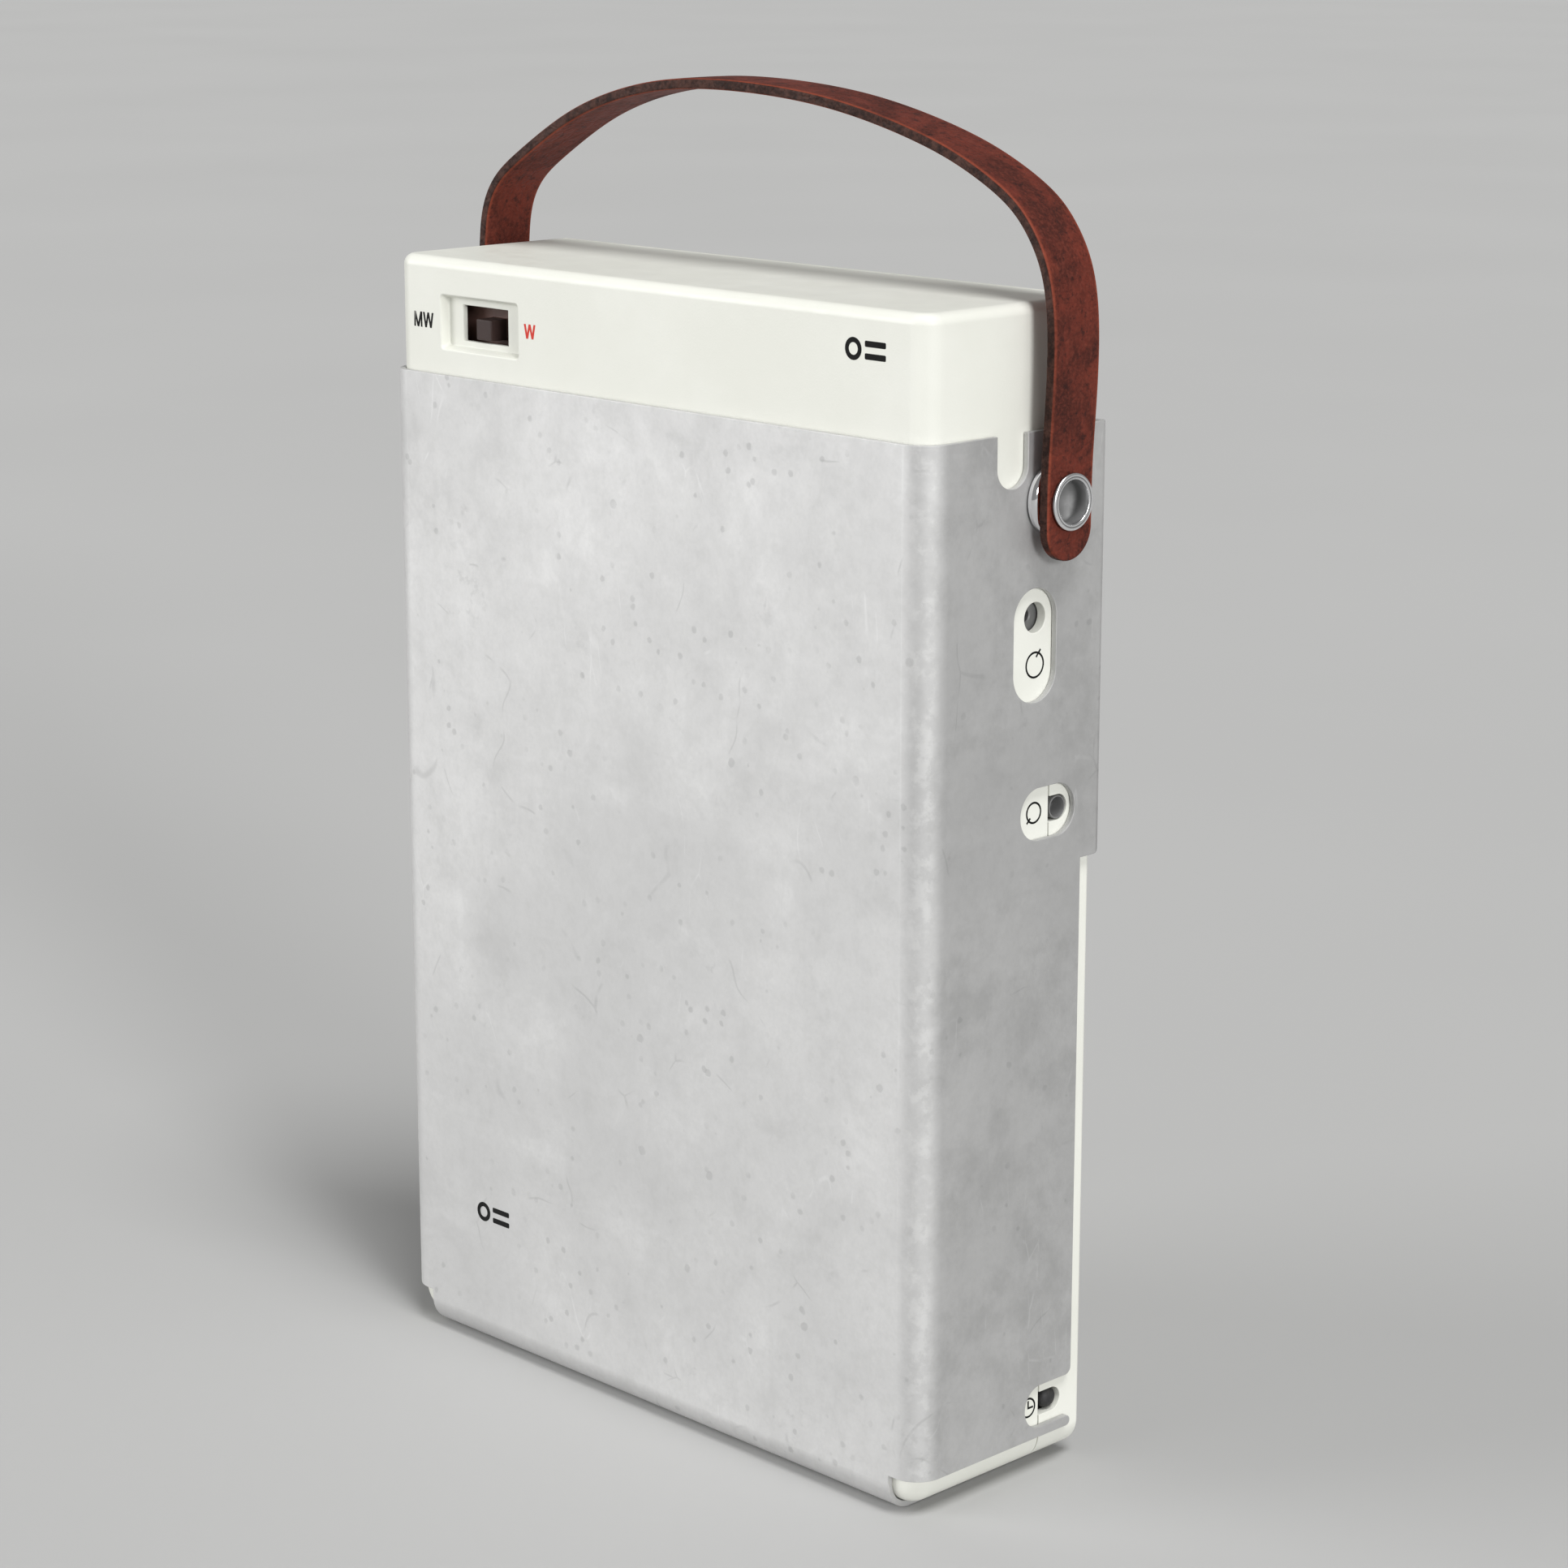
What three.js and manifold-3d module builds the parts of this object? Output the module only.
// Portable radio and record player set: a radio unit above a battery record player,
// both held in a bent aluminium carrier with a leather carrying strap.
// Millimetres. +Z is up, the plain back of the carrier faces -Y, the grille and the turntable face +Y.
// The origin is on the underside of the carrier's bottom flange, in the middle of the unit's width and depth.
import * as THREE from "three";
import { mergeVertices } from "three/addons/utils/BufferGeometryUtils.js";
import Module from "manifold-3d";

const wasm = await Module();
wasm.setup();

// ---- driving dimensions ----

const HALF_WIDTH = 76.5; // carrier, outside, along X
const HALF_DEPTH = 24.8; // carrier, outside, along Y
const SHEET = 1.2; // aluminium thickness
const BEND = 6; // outer radius of the carrier's vertical and bottom bends
const CARRIER_TOP = 208;
const STEP_Z = 124.3; // above this height the side flanges reach the front and wrap round it
const FLANGE_Z = 7.9; // lower edge of the side flanges
const FLANGE_Y = 19; // front edge of the side flanges below the step
const BOTTOM_HALF = 68.8; // half width of the bottom flange
const LIP_X = 73.3; // where the front lips end
const CLEAR = 0.2; // clearance between the sheet and the units
const GAP = 0.3; // clearance between touching pieces

const UNIT_X = HALF_WIDTH - SHEET - CLEAR;
const UNIT_Y = HALF_DEPTH - SHEET - CLEAR;
const WALL = 2.2;
const INNER_X = UNIT_X - WALL;
const INNER_Y = UNIT_Y - WALL;
const BACK_EDGE = 4.5; // rounding of the units' upright back edges
const FRONT_EDGE = 1.2; // rounding of the player's front edges

const RADIO_BOTTOM = 148;
const RADIO_TOP = 231.5;
const RADIO_PARTING = 20.4; // Y of the joint between back shell and front panel
const PLAYER_BOTTOM = 1.5;
const PLAYER_TOP = 147.2;
const PLAYER_PARTING = 11.2; // Y of the joint between back shell and deck
const RADIO_EDGE = 2.2; // rounding of the radio's top and bottom edges
const RADIO_FRONT_EDGE = 2.3; // rounding of its upright front edges
const PLAYER_CORNER = 5;
const PLAYER_FOOT = 6; // rounding of the player's lower corners

const STRAP_Y = 8.8; // centre of the strap, and of the rivets
const STRAP_Z = 195; // height of the rivets
const STRAP_WIDTH = 12.5;
const STRAP_THICK = 2.1;
const STRAP_END_Z = 183;
const STRAP_X = 80.25; // middle of the leather at the rivets

const SWITCH = { x: -49.2, z: 218.6 };
const JACK = { y: 6.5, z: 172.65 };
const WHEEL = { x: -65.3, y: 5.05, z: 167.7, r: 12 };
const TUNING = { x: -36, z: 180 };
const SPEAKER = { x: 34, z: 187, r: 31 };
const HUB = { x: 0, z: 92 };
const MOTOR = { x: -46, z: 34 };
const PIVOT = { x: 52, z: 26 };
const ARM_SWING = 36; // degrees, half of it below the level of the pivot
const SIGNAL = { y: 13.8, z: 134.95 };
const POWER = { y: 14.95, z: 14.1 };

// ---- from three.js geometry to solids and back ----

function solid(geometry) {
  const bare = geometry.clone();
  bare.deleteAttribute("normal");
  bare.deleteAttribute("uv");
  const merged = mergeVertices(bare, 1e-4);
  const vertProperties = merged.attributes.position.array;
  const triVerts = new Uint32Array(merged.index.array);
  return new wasm.Manifold(new wasm.Mesh({ numProp: 3, vertProperties, triVerts }));
}

function geometryOf(body) {
  const mesh = body.getMesh();
  const geometry = new THREE.BufferGeometry();
  geometry.setAttribute("position", new THREE.BufferAttribute(mesh.vertProperties, 3));
  geometry.setIndex(new THREE.BufferAttribute(mesh.triVerts, 1));
  geometry.computeVertexNormals();
  return geometry;
}

const joined = (...bodies) => bodies.reduce((a, b) => a.add(b));
const cut = (body, ...tools) => tools.reduce((a, b) => a.subtract(b), body);

// ---- outlines ----

// A rectangle from (x0, y0) to (x1, y1) whose corners have radii: lower left, lower right, upper right, upper left.
function roundedRect(x0, x1, y0, y1, radii) {
  const [a, b, c, d] = Array.isArray(radii) ? radii : [radii, radii, radii, radii];
  const shape = new THREE.Shape();
  shape.moveTo(x0 + a, y0);
  shape.lineTo(x1 - b, y0);
  if (b > 0) shape.absarc(x1 - b, y0 + b, b, -Math.PI / 2, 0);
  shape.lineTo(x1, y1 - c);
  if (c > 0) shape.absarc(x1 - c, y1 - c, c, 0, Math.PI / 2);
  shape.lineTo(x0 + d, y1);
  if (d > 0) shape.absarc(x0 + d, y1 - d, d, Math.PI / 2, Math.PI);
  shape.lineTo(x0, y0 + a);
  if (a > 0) shape.absarc(x0 + a, y0 + a, a, Math.PI, Math.PI * 1.5);
  return shape;
}

function slotShape(u, v, width, height) {
  const r = Math.min(width, height) / 2;
  return roundedRect(u - width / 2, u + width / 2, v - height / 2, v + height / 2, r - 0.001);
}

// ---- prisms: an outline carried along one axis ----

const BASES = {
  x: [new THREE.Vector3(0, 1, 0), new THREE.Vector3(0, 0, 1), new THREE.Vector3(1, 0, 0)],
  y: [new THREE.Vector3(1, 0, 0), new THREE.Vector3(0, 0, 1), new THREE.Vector3(0, -1, 0)],
  z: [new THREE.Vector3(1, 0, 0), new THREE.Vector3(0, 1, 0), new THREE.Vector3(0, 0, 1)],
};

// The outline is drawn in (Y, Z), (X, Z) or (X, Y) and fills low..high along the axis; edge rounds both ends.
function prism(axis, shape, low, high, { edge = 0, arc = 3, edgeSteps = 3 } = {}) {
  const geometry = new THREE.ExtrudeGeometry(shape, {
    depth: high - low - 2 * edge,
    curveSegments: arc,
    bevelEnabled: edge > 0,
    bevelThickness: edge,
    bevelSize: edge,
    bevelOffset: -edge,
    bevelSegments: edgeSteps,
  });
  geometry.applyMatrix4(new THREE.Matrix4().makeBasis(...BASES[axis]));
  const start = axis === "y" ? high - edge : low + edge;
  geometry.translate(axis === "x" ? start : 0, axis === "y" ? start : 0, axis === "z" ? start : 0);
  return solid(geometry);
}

function box(x0, x1, y0, y1, z0, z1) {
  const geometry = new THREE.BoxGeometry(x1 - x0, y1 - y0, z1 - z0);
  geometry.translate((x0 + x1) / 2, (y0 + y1) / 2, (z0 + z1) / 2);
  return solid(geometry);
}

// ---- turned pieces: a profile of [radius, distance along the axis] ----

function turned(axis, profile, centre, sides = 28) {
  const points = profile.map(([r, along]) => new THREE.Vector2(r, along));
  const geometry = new THREE.LatheGeometry(points, sides);
  if (axis === "x") geometry.rotateZ(-Math.PI / 2);
  if (axis === "z") geometry.rotateX(Math.PI / 2);
  geometry.translate(...centre);
  return solid(geometry);
}

const rod = (axis, r, low, high, centre, sides) =>
  turned(axis, [[0, low], [r, low], [r, high], [0, high]], centre, sides);

const ring = (axis, inner, outer, low, high, centre, sides) =>
  turned(axis, [[inner, low], [outer, low], [outer, high], [inner, high], [inner, low]], centre, sides);

// ---- materials ----

const finish = (color, roughness, metalness = 0) => ({ color, roughness, metalness });
const FINISH = {
  aluminium: finish(0xb4b5b3, 0.55, 0.9),
  leather: finish(0x6e2d22, 0.6),
  chrome: finish(0xd8d9db, 0.12, 1),
  cream: finish(0xe4e5da, 0.45),
  brown: finish(0x2b1b19, 0.5),
  black: finish(0x1c1c1c, 0.5),
  rubber: finish(0x242424, 0.85),
  white: finish(0xeeeeea, 0.5),
  clear: finish(0xdfe6e8, 0.08),
  board: finish(0x8a6a3a, 0.6),
  steel: finish(0x8f9294, 0.4, 0.9),
  ferrite: finish(0x2d2b2c, 0.7),
  copper: finish(0x9c5a34, 0.4, 0.8),
  paper: finish(0x3a3733, 0.9),
  label: finish(0x3f5f7f, 0.5),
};

const unit = new THREE.Group();

function piece(name, look, body, holder = unit) {
  const mesh = new THREE.Mesh(geometryOf(body), new THREE.MeshStandardMaterial(FINISH[look]));
  mesh.name = name;
  holder.add(mesh);
}

// ---- carrier: one bent sheet ----

// The side flange seen along X; the open slot near its foot is on the +X side only.
function flangeOutline(openSlot) {
  const slot = { y: 10.1, z: 14.4, r: 4.4 };
  const finger = 1.05;
  const shape = new THREE.Shape();
  shape.moveTo(-HALF_DEPTH - 1, FLANGE_Z);
  if (openSlot) {
    shape.lineTo(FLANGE_Y - finger, FLANGE_Z);
    shape.absarc(FLANGE_Y - finger, FLANGE_Z + finger, finger, -Math.PI / 2, Math.PI / 2);
    shape.lineTo(slot.y, slot.z - slot.r);
    shape.absarc(slot.y, slot.z, slot.r, -Math.PI / 2, Math.PI / 2, true);
    shape.lineTo(FLANGE_Y - 1.5, slot.z + slot.r);
    shape.absarc(FLANGE_Y - 1.5, slot.z + slot.r + 1.5, 1.5, -Math.PI / 2, 0);
  } else {
    shape.lineTo(FLANGE_Y - 1.5, FLANGE_Z);
    shape.absarc(FLANGE_Y - 1.5, FLANGE_Z + 1.5, 1.5, -Math.PI / 2, 0);
  }
  shape.lineTo(FLANGE_Y, STEP_Z);
  shape.lineTo(HALF_DEPTH - 2, STEP_Z);
  shape.absarc(HALF_DEPTH - 2, STEP_Z + 2, 2, -Math.PI / 2, 0);
  shape.lineTo(HALF_DEPTH, CARRIER_TOP);
  shape.lineTo(-HALF_DEPTH - 1, CARRIER_TOP);
  return shape;
}

function carrier() {
  const inX = HALF_WIDTH - SHEET;
  const inY = HALF_DEPTH - SHEET;
  const lipBend = 1.6;
  const outside = roundedRect(-HALF_WIDTH, HALF_WIDTH, -HALF_DEPTH, HALF_DEPTH, [BEND, BEND, lipBend, lipBend]);
  const bendIn = BEND - SHEET;
  const lipIn = lipBend - SHEET;
  const inside = roundedRect(-inX, inX, -inY, inY, [bendIn, bendIn, lipIn, lipIn]);
  const wrap = cut(
    prism("z", outside, 0, CARRIER_TOP),
    prism("z", inside, -1, CARRIER_TOP + 1),
    box(-LIP_X, LIP_X, 15, HALF_DEPTH + 1, -1, CARRIER_TOP + 1),
  );
  const right = prism("x", flangeOutline(true), 0, HALF_WIDTH + 1);
  const left = prism("x", flangeOutline(false), -HALF_WIDTH - 1, 0);
  const sides = wrap.intersect(joined(right, left));

  const toe = 3;
  const underside = roundedRect(-HALF_DEPTH, 60, 0, 60, [BEND, 0, 0, 0]);
  const upperside = roundedRect(-inY, 70, SHEET, 70, [bendIn, 0, 0, 0]);
  const plan = roundedRect(-BOTTOM_HALF, BOTTOM_HALF, -HALF_DEPTH - 1, FLANGE_Y, [0, 0, toe, toe]);
  const foot = cut(
    prism("x", underside, -BOTTOM_HALF, BOTTOM_HALF),
    prism("x", upperside, -BOTTOM_HALF - 1, BOTTOM_HALF + 1),
  ).intersect(prism("z", plan, -1, FLANGE_Z + 4));

  const thumbNotch = prism("x", roundedRect(-5.9, 2.4, 197.9, 230, [4.1, 4.1, 0, 0]), -90, 90);
  const jackSlot = prism("x", slotShape(5.05, 167.7, 11.7, 21.8), -90, 90, { arc: 6 });
  const socketSlot = prism("x", slotShape(9.4, 135, 15.2, 10.2), 70, 90, { arc: 6 });
  const stem = rod("x", 2.6, -90, 90, [0, STRAP_Y, STRAP_Z]);
  return cut(joined(sides, foot), thumbNotch, jackSlot, socketSlot, stem);
}

piece("carrier", "aluminium", carrier());

// ---- strap, and what holds it ----

// The middle of the leather from the left rivet over the top to the right rivet, in (X, Z).
const STRAP_PATH = new THREE.CatmullRomCurve3(
  [
    [-STRAP_X, 181],
    [-STRAP_X, 200],
    [-79.9, 217],
    [-78.4, 230.2],
    [-78, 236.8],
    [-75.1, 243.4],
    [-68.2, 248.9],
    [-48.2, 259.9],
    [-26.4, 265.9],
    [-2.9, 267.2],
    [25.3, 264.9],
    [52.1, 258.5],
    [69.9, 250.3],
    [76.2, 244],
    [79.8, 237.4],
    [81.3, 228],
    [81.2, 216],
    [STRAP_X, 200],
    [STRAP_X, 181],
  ].map(([x, z]) => new THREE.Vector3(x, 0, z)),
  false,
  "centripetal",
);

function strap() {
  const steps = 52;
  const outer = [];
  const inner = [];
  for (let i = 0; i <= steps; i++) {
    const at = STRAP_PATH.getPointAt(i / steps);
    const along = STRAP_PATH.getTangentAt(i / steps);
    const normal = new THREE.Vector2(-along.z, along.x).multiplyScalar(STRAP_THICK / 2);
    const middle = new THREE.Vector2(at.x, at.z);
    outer.push(middle.clone().add(normal));
    inner.push(middle.clone().sub(normal));
  }
  const outline = new THREE.Shape([...outer, ...inner.reverse()]);
  const y0 = STRAP_Y - STRAP_WIDTH / 2;
  const y1 = STRAP_Y + STRAP_WIDTH / 2;
  const band = prism("y", outline, y0, y1);
  const end = STRAP_WIDTH / 2 - 0.001;
  const ends = prism("x", roundedRect(y0, y1, STRAP_END_Z, 300, [end, end, 0, 0]), -95, 95, { arc: 5 });
  const hole = rod("x", 4.6, -95, 95, [0, STRAP_Y, STRAP_Z]);
  return cut(band.intersect(ends), hole);
}

piece("strap", "leather", strap());

// A cup rivet: its stem goes through the carrier, and its rolled rim holds the leather. X is the outward distance.
const RIVET_PROFILE = [
  [0, HALF_WIDTH - SHEET + 0.1],
  [2.3, HALF_WIDTH - SHEET + 0.1],
  [2.3, 76.9],
  [4.3, 76.9],
  [4.3, 81.5],
  [5.25, 81.5],
  [5.45, 81.75],
  [5.2, 82.1],
  [4.7, 82.3],
  [4.15, 82],
  [3.85, 81.3],
  [3.75, 79],
  [3, 78],
  [0, 77.6],
];
const SPACER_PROFILE = [
  [4.6, 76.8],
  [6.6, 76.8],
  [7, 77.4],
  [6.7, 78.3],
  [5.9, 78.9],
  [4.6, 78.9],
  [4.6, 76.8],
];
for (const [side, turn] of [["right", 1], ["left", -1]]) {
  const mirror = (profile) => {
    const flipped = profile.map(([r, x]) => [r, turn * x]);
    return turn > 0 ? flipped : flipped.reverse();
  };
  piece(`strap_rivet_${side}`, "chrome", turned("x", mirror(RIVET_PROFILE), [0, STRAP_Y, STRAP_Z], 32));
  piece(`strap_spacer_${side}`, "chrome", turned("x", mirror(SPACER_PROFILE), [0, STRAP_Y, STRAP_Z], 32));
}

// ---- radio unit ----

const RADIO_PLAN = roundedRect(
  -UNIT_X,
  UNIT_X,
  -UNIT_Y,
  UNIT_Y,
  [BACK_EDGE, BACK_EDGE, RADIO_FRONT_EDGE, RADIO_FRONT_EDGE],
);
const RADIO_BLOCK = prism("z", RADIO_PLAN, RADIO_BOTTOM, RADIO_TOP, { edge: RADIO_EDGE, arc: 4, edgeSteps: 3 });
const RADIO_INSIDE = roundedRect(-INNER_X, INNER_X, RADIO_BOTTOM + WALL, RADIO_TOP - WALL, 1.3);
const RADIO_PILLARS = [[-50, 154.2], [50, 154.2]];

// A frustum along Y that narrows towards +Y by insetX and insetZ on each side.
function taperedPocket(x, z, width, height, low, high, insetX, insetZ) {
  const geometry = new THREE.BoxGeometry(width, high - low, height);
  const position = geometry.attributes.position;
  for (let i = 0; i < position.count; i++) {
    if (position.getY(i) > 0) {
      position.setX(i, position.getX(i) - Math.sign(position.getX(i)) * insetX);
      position.setZ(i, position.getZ(i) - Math.sign(position.getZ(i)) * insetZ);
    }
  }
  geometry.translate(x, (low + high) / 2, z);
  return solid(geometry);
}

// The holes in a back wall for one screw: a counterbore for the head and a hole for the shank.
function screwHoles(x, z) {
  return joined(
    rod("y", 3.2, -UNIT_Y - 1, -UNIT_Y + 1.3, [x, 0, z], 20),
    rod("y", 1.6, -UNIT_Y, -INNER_Y + 1, [x, 0, z], 20),
  );
}

// A screw pillar on the inside of a front, reaching back to the rear wall.
function pillar(x, z, front) {
  return cut(
    rod("y", 3.2, -INNER_Y + GAP, front, [x, 0, z], 20),
    rod("y", 1.55, -INNER_Y, -8, [x, 0, z], 16),
  );
}

function screw(x, z) {
  const head = -UNIT_Y + 0.1;
  return turned("y", [[0, head], [2.8, head], [2.8, head + 1.1], [1.25, head + 1.1], [1.25, -9], [0, -9]],
    [x, 0, z], 16);
}

function radioBackShell() {
  const inner = prism("y", RADIO_INSIDE, -INNER_Y, 60, { edge: 1.2, edgeSteps: 2 });
  const pad = box(SWITCH.x - 14.2, SWITCH.x + 14.2, -INNER_Y - 0.5, -20.1, SWITCH.z - 7.6, SWITCH.z + 7.6);
  const shell = joined(cut(RADIO_BLOCK, inner), pad);
  const recess = taperedPocket(SWITCH.x + 0.35, SWITCH.z, 24.34, 11.52, -UNIT_Y - 0.6, -21.3, 0.64, 0.9);
  const window = box(SWITCH.x - 6.9, SWITCH.x + 6.9, -23, -19, SWITCH.z - 3.6, SWITCH.z + 3.6);
  const jackHole = rod("x", 2.9, 70, 80, [0, JACK.y, JACK.z], 24);
  const wheelSlot = box(-80, -70, WHEEL.y - 3.2, WHEEL.y + 3.2, WHEEL.z - 10.3, WHEEL.z + 10.3);
  const front = box(-90, 90, RADIO_PARTING - 0.1, 60, 100, 300);
  const screws = RADIO_PILLARS.map(([x, z]) => screwHoles(x, z));
  return cut(shell, recess, window, jackHole, wheelSlot, front, ...screws);
}

// Horizontal sound slots, cut to a circle.
function grille() {
  const pitch = 4;
  const rows = 6;
  const reach = 27;
  const slots = [];
  for (let row = -rows; row <= rows; row++) {
    const z = SPEAKER.z + row * pitch;
    const half = Math.sqrt(reach ** 2 - (row * pitch) ** 2);
    slots.push(prism("y", slotShape(SPEAKER.x, z, 2 * half, 1.7), 15, 30, { arc: 2 }));
  }
  return joined(...slots);
}

function radioFrontPanel() {
  const panel = cut(
    RADIO_BLOCK,
    box(-90, 90, -60, RADIO_PARTING + 0.1, 100, 300),
    prism("y", RADIO_INSIDE, 0, 21.6),
    grille(),
    box(TUNING.x - 14, TUNING.x + 14, 15, 30, TUNING.z + 11.2, TUNING.z + 20.2),
    rod("y", 4, 15, 30, [TUNING.x, 0, TUNING.z], 24),
  );
  return joined(panel, ...RADIO_PILLARS.map(([x, z]) => pillar(x, z, 22)));
}

function bandSwitchSlider() {
  const plate = box(SWITCH.x - 11, SWITCH.x + 11, -17.4, -16.3, SWITCH.z - 4.6, SWITCH.z + 4.6);
  const grip = box(SWITCH.x - 2.35, SWITCH.x + 2.35, -21.8, -17, SWITCH.z - 3, SWITCH.z + 1.2);
  return joined(plate, grip);
}

function bandSwitchBody() {
  const body = box(SWITCH.x - 13, SWITCH.x + 13, -16, -12, SWITCH.z - 6.5, SWITCH.z + 6.5);
  const track = box(SWITCH.x - 9, SWITCH.x + 9, -16.5, -15.2, SWITCH.z - 2, SWITCH.z + 2);
  return cut(body, track);
}

// A wheel with rounded teeth round its rim, for a thumb.
function thumbWheel() {
  const teeth = 30;
  const points = [];
  for (let i = 0; i < teeth * 2; i++) {
    const angle = (Math.PI * i) / teeth;
    const r = i % 2 ? WHEEL.r : WHEEL.r - 0.7;
    points.push(new THREE.Vector2(WHEEL.x + r * Math.cos(angle), WHEEL.z + r * Math.sin(angle)));
  }
  const disc = prism("y", new THREE.Shape(points), WHEEL.y - 2.5, WHEEL.y + 2.5);
  return cut(disc, rod("y", 2.8, WHEEL.y - 5, WHEEL.y + 1, [WHEEL.x, 0, WHEEL.z], 20));
}

function speakerFrame() {
  const flare = [
    [13.5, 5.9],
    [SPEAKER.r - 3, 19.2],
    [SPEAKER.r, 19.2],
    [SPEAKER.r, 21.2],
    [SPEAKER.r - 3.5, 21.2],
    [SPEAKER.r - 4.2, 20],
    [12, 7.2],
    [8, 7.2],
    [8, 5.9],
    [13.5, 5.9],
  ];
  return turned("y", flare, [SPEAKER.x, 0, SPEAKER.z], 36);
}

function speakerCone() {
  const cone = [[0, 10.4], [7, 8.4], [25.6, 19.9], [25.6, 20.7], [7.4, 9.3], [0, 11.4]];
  return turned("y", cone, [SPEAKER.x, 0, SPEAKER.z], 36);
}

function tuningKnob() {
  const profile = [
    [0, 6.4],
    [2, 6.4],
    [2, 20.2],
    [3.6, 20.2],
    [3.6, 23.7],
    [10.6, 23.7],
    [10.6, 28.4],
    [9.8, 29.4],
    [8, 29.4],
    [6.6, 28.8],
    [0, 28.2],
  ];
  return turned("y", profile, [TUNING.x, 0, TUNING.z], 40);
}

const BOARD_FRONT = -10;
piece("radio_back_shell", "cream", radioBackShell());
piece("radio_front_panel", "cream", radioFrontPanel());
piece("band_switch_slider", "brown", bandSwitchSlider());
piece("band_switch_body", "black", bandSwitchBody());
piece("earphone_jack", "steel", turned("x", [
  [0, 60.5],
  [4.5, 60.5],
  [4.5, 72.5],
  [1.25, 72.5],
  [1.25, 62],
  [0, 62],
], [0, JACK.y, JACK.z], 24));
piece("volume_wheel", "black", thumbWheel());
piece("volume_control", "steel", turned("y", [
  [0, BOARD_FRONT + GAP],
  [7.2, BOARD_FRONT + GAP],
  [7.2, 1],
  [2.4, 1],
  [2.4, WHEEL.y + 0.6],
  [0, WHEEL.y + 0.6],
], [WHEEL.x, 0, WHEEL.z], 24));
piece("tuning_knob", "white", tuningKnob());
piece("dial_disc", "white", ring("y", 2.3, 21, 18.6, 19.8, [TUNING.x, 0, TUNING.z], 48));
piece("dial_window", "clear",
  box(TUNING.x - 13.7, TUNING.x + 13.7, 21.9, 23.2, TUNING.z + 11.5, TUNING.z + 19.9));
piece("tuning_capacitor", "clear",
  box(TUNING.x - 10, TUNING.x + 10, BOARD_FRONT + GAP, 6, TUNING.z - 10, TUNING.z + 10));
piece("radio_circuit_board", "board",
  prism("y", roundedRect(-70, 70, 158.2, 228, 2), BOARD_FRONT - 1.6, BOARD_FRONT));
piece("speaker_frame", "steel", speakerFrame());
piece("speaker_cone", "paper", speakerCone());
piece("speaker_magnet", "ferrite", turned("y", [
  [0, -6],
  [13, -6],
  [14, -5],
  [14, 5.6],
  [0, 5.6],
], [SPEAKER.x, 0, SPEAKER.z], 32));
piece("ferrite_rod", "ferrite", rod("x", 4.75, -60, 60, [0, 10, 221.5], 20));
piece("aerial_coil", "copper", ring("x", 5.05, 6.4, -15, 12, [0, 10, 221.5], 24));
[-18, -5, 8].forEach((x, i) => {
  piece(`if_can_${i + 1}`, "steel",
    prism("y", roundedRect(x - 5, x + 5, 161, 171, 0.8), BOARD_FRONT + GAP, 2.3, { arc: 1 }));
});
piece("output_transformer", "steel", joined(
  box(22, 42, BOARD_FRONT + GAP, 3.5, 160, 171.5),
  box(25, 39, BOARD_FRONT + 2, 5, 158.5, 172.4),
));
piece("battery_block", "label",
  prism("y", roundedRect(-68, -19.5, 199, 216.5, 1.5), -9, 17.3, { edge: 0.8, edgeSteps: 1, arc: 2 }));
piece("battery_snap", "black", box(-19.2, -15.5, -5, 13, 202.5, 213));
RADIO_PILLARS.forEach(([x, z], i) => piece(`radio_screw_${i + 1}`, "steel", screw(x, z)));

// ---- record player unit ----

const FOOT_CORNERS = [PLAYER_FOOT, PLAYER_FOOT, PLAYER_CORNER, PLAYER_CORNER];
const PLAYER_OUTLINE = roundedRect(-UNIT_X, UNIT_X, PLAYER_BOTTOM, PLAYER_TOP, FOOT_CORNERS);
const PLAYER_INSIDE = roundedRect(
  -INNER_X,
  INNER_X,
  PLAYER_BOTTOM + WALL,
  PLAYER_TOP - WALL,
  FOOT_CORNERS.map((r) => r - WALL + 0.4),
);
const PLAYER_PILLARS = [[-64.4, 7.7], [64.4, 7.7], [-67.2, 141], [67.2, 141]];

function playerBackShell() {
  const outer = prism("y", PLAYER_OUTLINE, -UNIT_Y, UNIT_Y, { edge: BACK_EDGE, edgeSteps: 4 });
  const inner = prism("y", PLAYER_INSIDE, -INNER_Y, 60, { edge: 1.2, edgeSteps: 2 });
  const front = box(-90, 90, PLAYER_PARTING - 0.1, 60, -10, 200);
  return cut(outer, inner, front, ...PLAYER_PILLARS.map(([x, z]) => screwHoles(x, z)));
}

// A slot that follows the stylus round the tonearm's pivot.
function stylusSlot() {
  const near = 49.2;
  const far = 55.8;
  const sweep = THREE.MathUtils.degToRad(ARM_SWING / 2 + 3);
  const shape = new THREE.Shape();
  shape.absarc(PIVOT.x, PIVOT.z, far, Math.PI - sweep, Math.PI + sweep);
  shape.absarc(PIVOT.x, PIVOT.z, near, Math.PI + sweep, Math.PI - sweep, true);
  return prism("y", shape, 15, 30, { arc: 5 });
}

const COVER = { x0: -7, x1: 13, z0: 4.6, z1: 47.4 };

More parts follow.
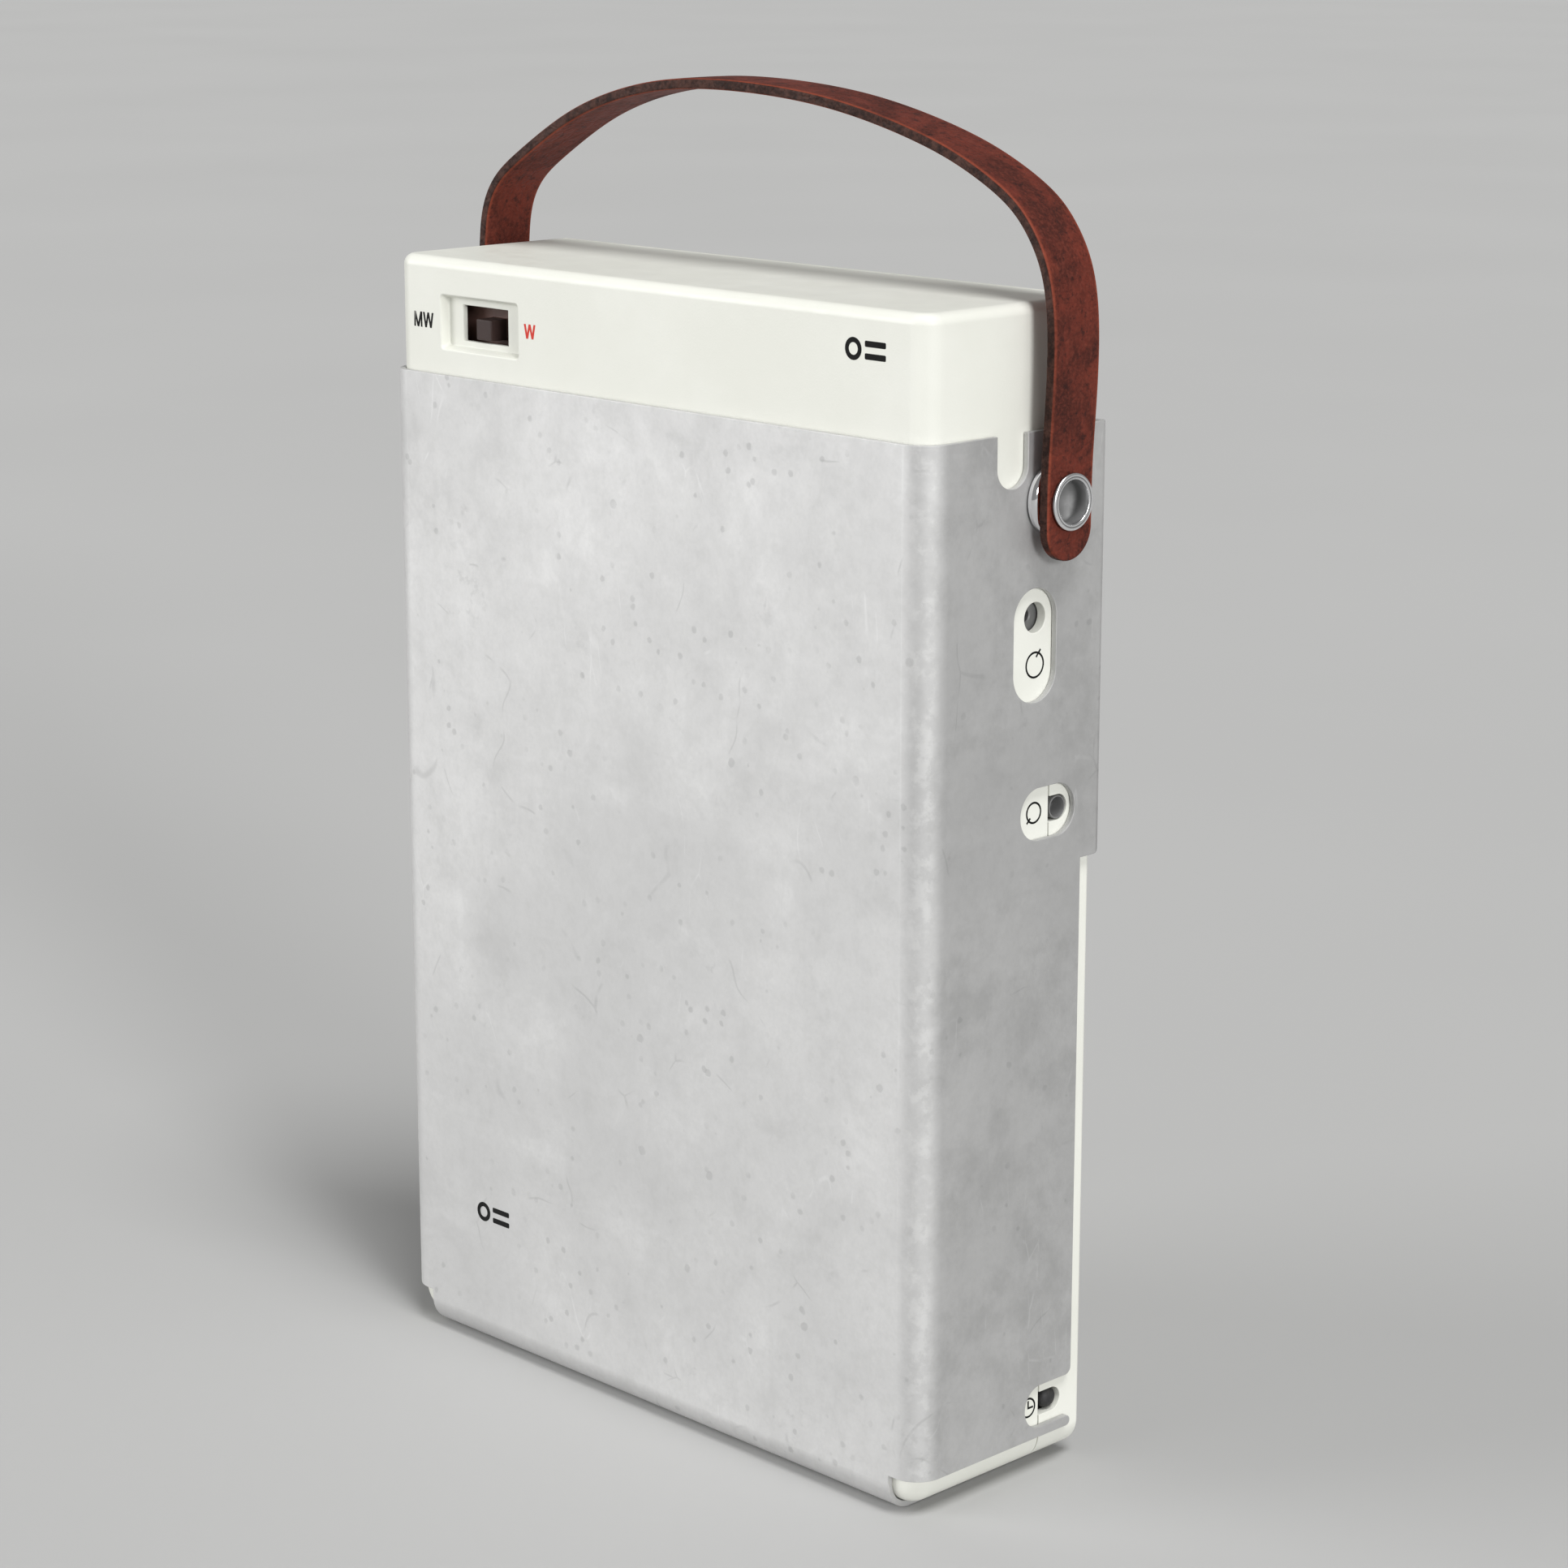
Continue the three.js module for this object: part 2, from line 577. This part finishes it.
function playerDeck() {
  const outer = prism("y", PLAYER_OUTLINE, -UNIT_Y, UNIT_Y, { edge: FRONT_EDGE, edgeSteps: 2 });
  const socket = (at, r) => joined(
    rod("x", r, 60, 80, [0, at.y, at.z], 24),
    box(60, 80, 0, at.y, at.z - r, at.z + r),
  );
  const deck = cut(
    outer,
    box(-90, 90, -60, PLAYER_PARTING + 0.1, -10, 200),
    prism("y", PLAYER_INSIDE, 0, INNER_Y),
    rod("y", 31.2, 15, 30, [HUB.x, 0, HUB.z], 48),
    stylusSlot(),
    socket(SIGNAL, 2.5),
    socket(POWER, 2.4),
  );
  const rail = (edge, side) => {
    const z = [edge + side * 1.6, edge + side * 0.4, edge - side * 1].sort((a, b) => a - b);
    const [wall0, wall1] = side < 0 ? [z[0], z[1]] : [z[1], z[2]];
    return joined(
      box(COVER.x0 - 23, COVER.x1 + 1, UNIT_Y - 0.5, UNIT_Y + 2.8, wall0, wall1),
      box(COVER.x0 - 23, COVER.x1 + 1, UNIT_Y + 1.9, UNIT_Y + 2.8, z[0], z[2]),
    );
  };
  const rails = [rail(COVER.z0, -1), rail(COVER.z1, 1)];
  return joined(deck, ...rails, ...PLAYER_PILLARS.map(([x, z]) => pillar(x, z, INNER_Y + 0.5)));
}

// The hub that carries a small record: a wide seat, a boss for a large centre hole and a spindle tip.
function turntableHub() {
  const profile = [
    [0, -6],
    [3, -6],
    [3, 20.6],
    [30.5, 20.6],
    [30.5, 24.4],
    [18.9, 24.4],
    [18.9, 26.6],
    [18.2, 27.4],
    [4.2, 27.4],
    [3.5, 28],
    [3.5, 30],
    [2.4, 31.2],
    [0, 31.6],
  ];
  return turned("y", profile, [HUB.x, 0, HUB.z], 48);
}

const BELT = { wheel: 24, pulley: 4, low: 8.6, high: 11.4, thick: 0.8 };

// A grooved wheel for the belt.
function beltWheel(r, bore, centre, sides) {
  return turned("y", [
    [bore, 8],
    [r + 1, 8],
    [r + 1, 8.4],
    [r, 8.6],
    [r, 11.4],
    [r + 1, 11.6],
    [r + 1, 12],
    [bore, 12],
    [bore, 8],
  ], centre, sides);
}

// The outline of a belt round two wheels, at a distance off their rims.
function beltOutline(off) {
  const from = new THREE.Vector2(HUB.x, HUB.z);
  const to = new THREE.Vector2(MOTOR.x, MOTOR.z);
  const line = to.clone().sub(from);
  const spread = Math.acos((BELT.wheel - BELT.pulley) / line.length());
  const heading = line.angle();
  const shape = new THREE.Shape();
  shape.absarc(from.x, from.y, BELT.wheel + off, heading + spread, heading - spread + 2 * Math.PI);
  shape.absarc(to.x, to.y, BELT.pulley + off, heading - spread, heading + spread);
  return shape;
}

function driveBelt() {
  const options = { arc: 12 };
  const off = 0.3;
  return cut(
    prism("y", beltOutline(off + BELT.thick), BELT.low + 0.2, BELT.high - 0.2, options),
    prism("y", beltOutline(off), BELT.low - 1, BELT.high + 1, options),
  );
}

const CHASSIS = { low: 4.6, high: 5.8 };

function playerChassis() {
  return cut(
    prism("y", roundedRect(-62, 62, 12, 112, 4), CHASSIS.low, CHASSIS.high),
    rod("y", 6.3, 0, 10, [HUB.x, 0, HUB.z], 28),
    rod("y", 2.2, 0, 10, [MOTOR.x, 0, MOTOR.z], 20),
    rod("y", 2.3, 0, 10, [PIVOT.x, 0, PIVOT.z], 20),
  );
}

// The arm and its head are drawn from the pivot, pointing along -X.
function tonearm() {
  const bar = prism("y", slotShape(-24, 0, 48, 5), 15, 18);
  const eye = rod("y", 6, 14.6, 18.6, [0, 0, 0], 28);
  return cut(joined(bar, eye), rod("y", 2.8, 10, 22, [0, 0, 0], 24));
}

function stylusHead() {
  const head = prism("y", roundedRect(-54.5, -48.3, -3.8, 3.8, 1), 15, 20.4);
  const tip = turned("y", [[0, 20], [1.2, 20], [0.5, 22.4], [0, 22.6]], [-52.5, 0, 0], 12);
  return joined(head, tip);
}

// A light coil spring round the pivot post, under the tonearm's eye.
function tonearmSpring() {
  const turns = 4;
  const stepsPerTurn = 10;
  const r = 3.6;
  const points = [];
  for (let i = 0; i <= turns * stepsPerTurn; i++) {
    const angle = (2 * Math.PI * i) / stepsPerTurn;
    const y = 7.6 + (6.2 * i) / (turns * stepsPerTurn);
    points.push(new THREE.Vector3(PIVOT.x + r * Math.cos(angle), y, PIVOT.z + r * Math.sin(angle)));
  }
  const wire = new THREE.Shape();
  wire.absarc(0, 0, 0.35, 0, 2 * Math.PI);
  const path = new THREE.CatmullRomCurve3(points);
  return solid(new THREE.ExtrudeGeometry(wire, {
    steps: turns * stepsPerTurn,
    curveSegments: 3,
    extrudePath: path,
    bevelEnabled: false,
  }));
}

function stylusCover() {
  const { x0, x1, z0, z1 } = COVER;
  const plate = prism("y", roundedRect(x0, x1, z0, z1, 1.5), UNIT_Y + GAP, UNIT_Y + 1.6, { arc: 2 });
  const ribs = [0, 1, 2, 3].map((i) => {
    const x = x0 + 4 + i * 4;
    return box(x - 0.7, x + 0.7, UNIT_Y + 1.2, UNIT_Y + 2.3, z0 + 12, z1 - 12);
  });
  return joined(plate, ...ribs);
}

const TRAY = { x: 54, z0: 109.8, z1: 143.6, back: -20.9, front: -9 };
const CELL = { r: 7.1, half: 25, y: -12.3, z: [118.8, 134.6] };

function batteryTray() {
  const inside = roundedRect(-TRAY.x + 1.2, TRAY.x - 1.2, TRAY.z0 + 1.2, TRAY.z1 - 1.2, 1);
  return cut(
    prism("y", roundedRect(-TRAY.x, TRAY.x, TRAY.z0, TRAY.z1, 2), TRAY.back, TRAY.front),
    prism("y", inside, TRAY.back + 1.2, TRAY.front + 1),
  );
}

function cell(x, z, turn) {
  const profile = [
    [0, -CELL.half],
    [CELL.r, -CELL.half],
    [CELL.r, CELL.half - 1.2],
    [2.7, CELL.half - 1.2],
    [2.7, CELL.half],
    [0, CELL.half],
  ];
  const facing = profile.map(([r, along]) => [r, turn * along]);
  return turned("x", turn > 0 ? facing : facing.reverse(), [x, CELL.y, z], 20);
}

piece("player_back_shell", "cream", playerBackShell());
piece("player_deck", "cream", playerDeck());
piece("turntable_hub", "white", turntableHub());
piece("turntable_mat", "rubber", turned("y", [
  [21, 24.7],
  [29.6, 24.7],
  [29.6, 25.5],
  [29, 25.9],
  [21.6, 25.9],
  [21, 25.5],
  [21, 24.7],
], [HUB.x, 0, HUB.z], 48));
piece("turntable_pulley", "white", beltWheel(BELT.wheel, 3.3, [HUB.x, 0, HUB.z], 48));
piece("spindle_bush", "copper", ring("y", 3.3, 6, -9, 7.4, [HUB.x, 0, HUB.z], 28));
piece("player_chassis", "steel", playerChassis());
piece("drive_motor", "steel", turned("y", [
  [0, -16],
  [12, -16],
  [13, -15],
  [13, 3.4],
  [12.2, 4.3],
  [0, 4.3],
], [MOTOR.x, 0, MOTOR.z], 32));
piece("motor_pulley", "copper", joined(
  beltWheel(BELT.pulley, 0.8, [MOTOR.x, 0, MOTOR.z], 24),
  rod("y", 1.2, 4.6, 12.6, [MOTOR.x, 0, MOTOR.z], 12),
));
piece("drive_belt", "rubber", driveBelt());
// The arm rests at the outer edge of a record, its lowest place.
const arm = new THREE.Group();
arm.position.set(PIVOT.x, 0, PIVOT.z);
arm.rotation.y = -THREE.MathUtils.degToRad(ARM_SWING / 2);
unit.add(arm);
piece("tonearm", "white", tonearm(), arm);
piece("stylus_head", "black", stylusHead(), arm);
piece("tonearm_pivot", "steel", turned("y", [
  [0, 3],
  [2, 3],
  [2, 6.1],
  [4.6, 6.1],
  [4.6, 7],
  [2.5, 7],
  [2.5, 19.6],
  [2.1, 20],
  [0, 20],
], [PIVOT.x, 0, PIVOT.z], 24));
piece("tonearm_spring", "steel", tonearmSpring());
piece("stylus_cover", "white", stylusCover());
piece("battery_tray", "black", batteryTray());
[-26, 26].forEach((x, column) => CELL.z.forEach((z, row) => {
  piece(`battery_cell_${2 * column + row + 1}`, "label", cell(x, z, row ? -1 : 1));
}));
piece("motor_control_board", "board", prism("y", roundedRect(20, 64, 60, 100, 1.5), -13, -11.4));
piece("signal_socket", "steel", turned("x", [
  [0, 58],
  [2.3, 58],
  [2.3, 74.9],
  [1.95, 74.9],
  [1.8, 74.3],
  [1.8, 72.2],
  [1.3, 71.7],
  [0, 71.5],
], [0, SIGNAL.y, SIGNAL.z], 24));
piece("power_socket_plug", "rubber", turned("x", [
  [0, 60],
  [2.2, 60],
  [2.2, 73.6],
  [1.9, 74.4],
  [1.1, 74.9],
  [0, 75],
], [0, POWER.y, POWER.z], 24));
PLAYER_PILLARS.forEach(([x, z], i) => piece(`player_screw_${i + 1}`, "steel", screw(x, z)));

export default unit;
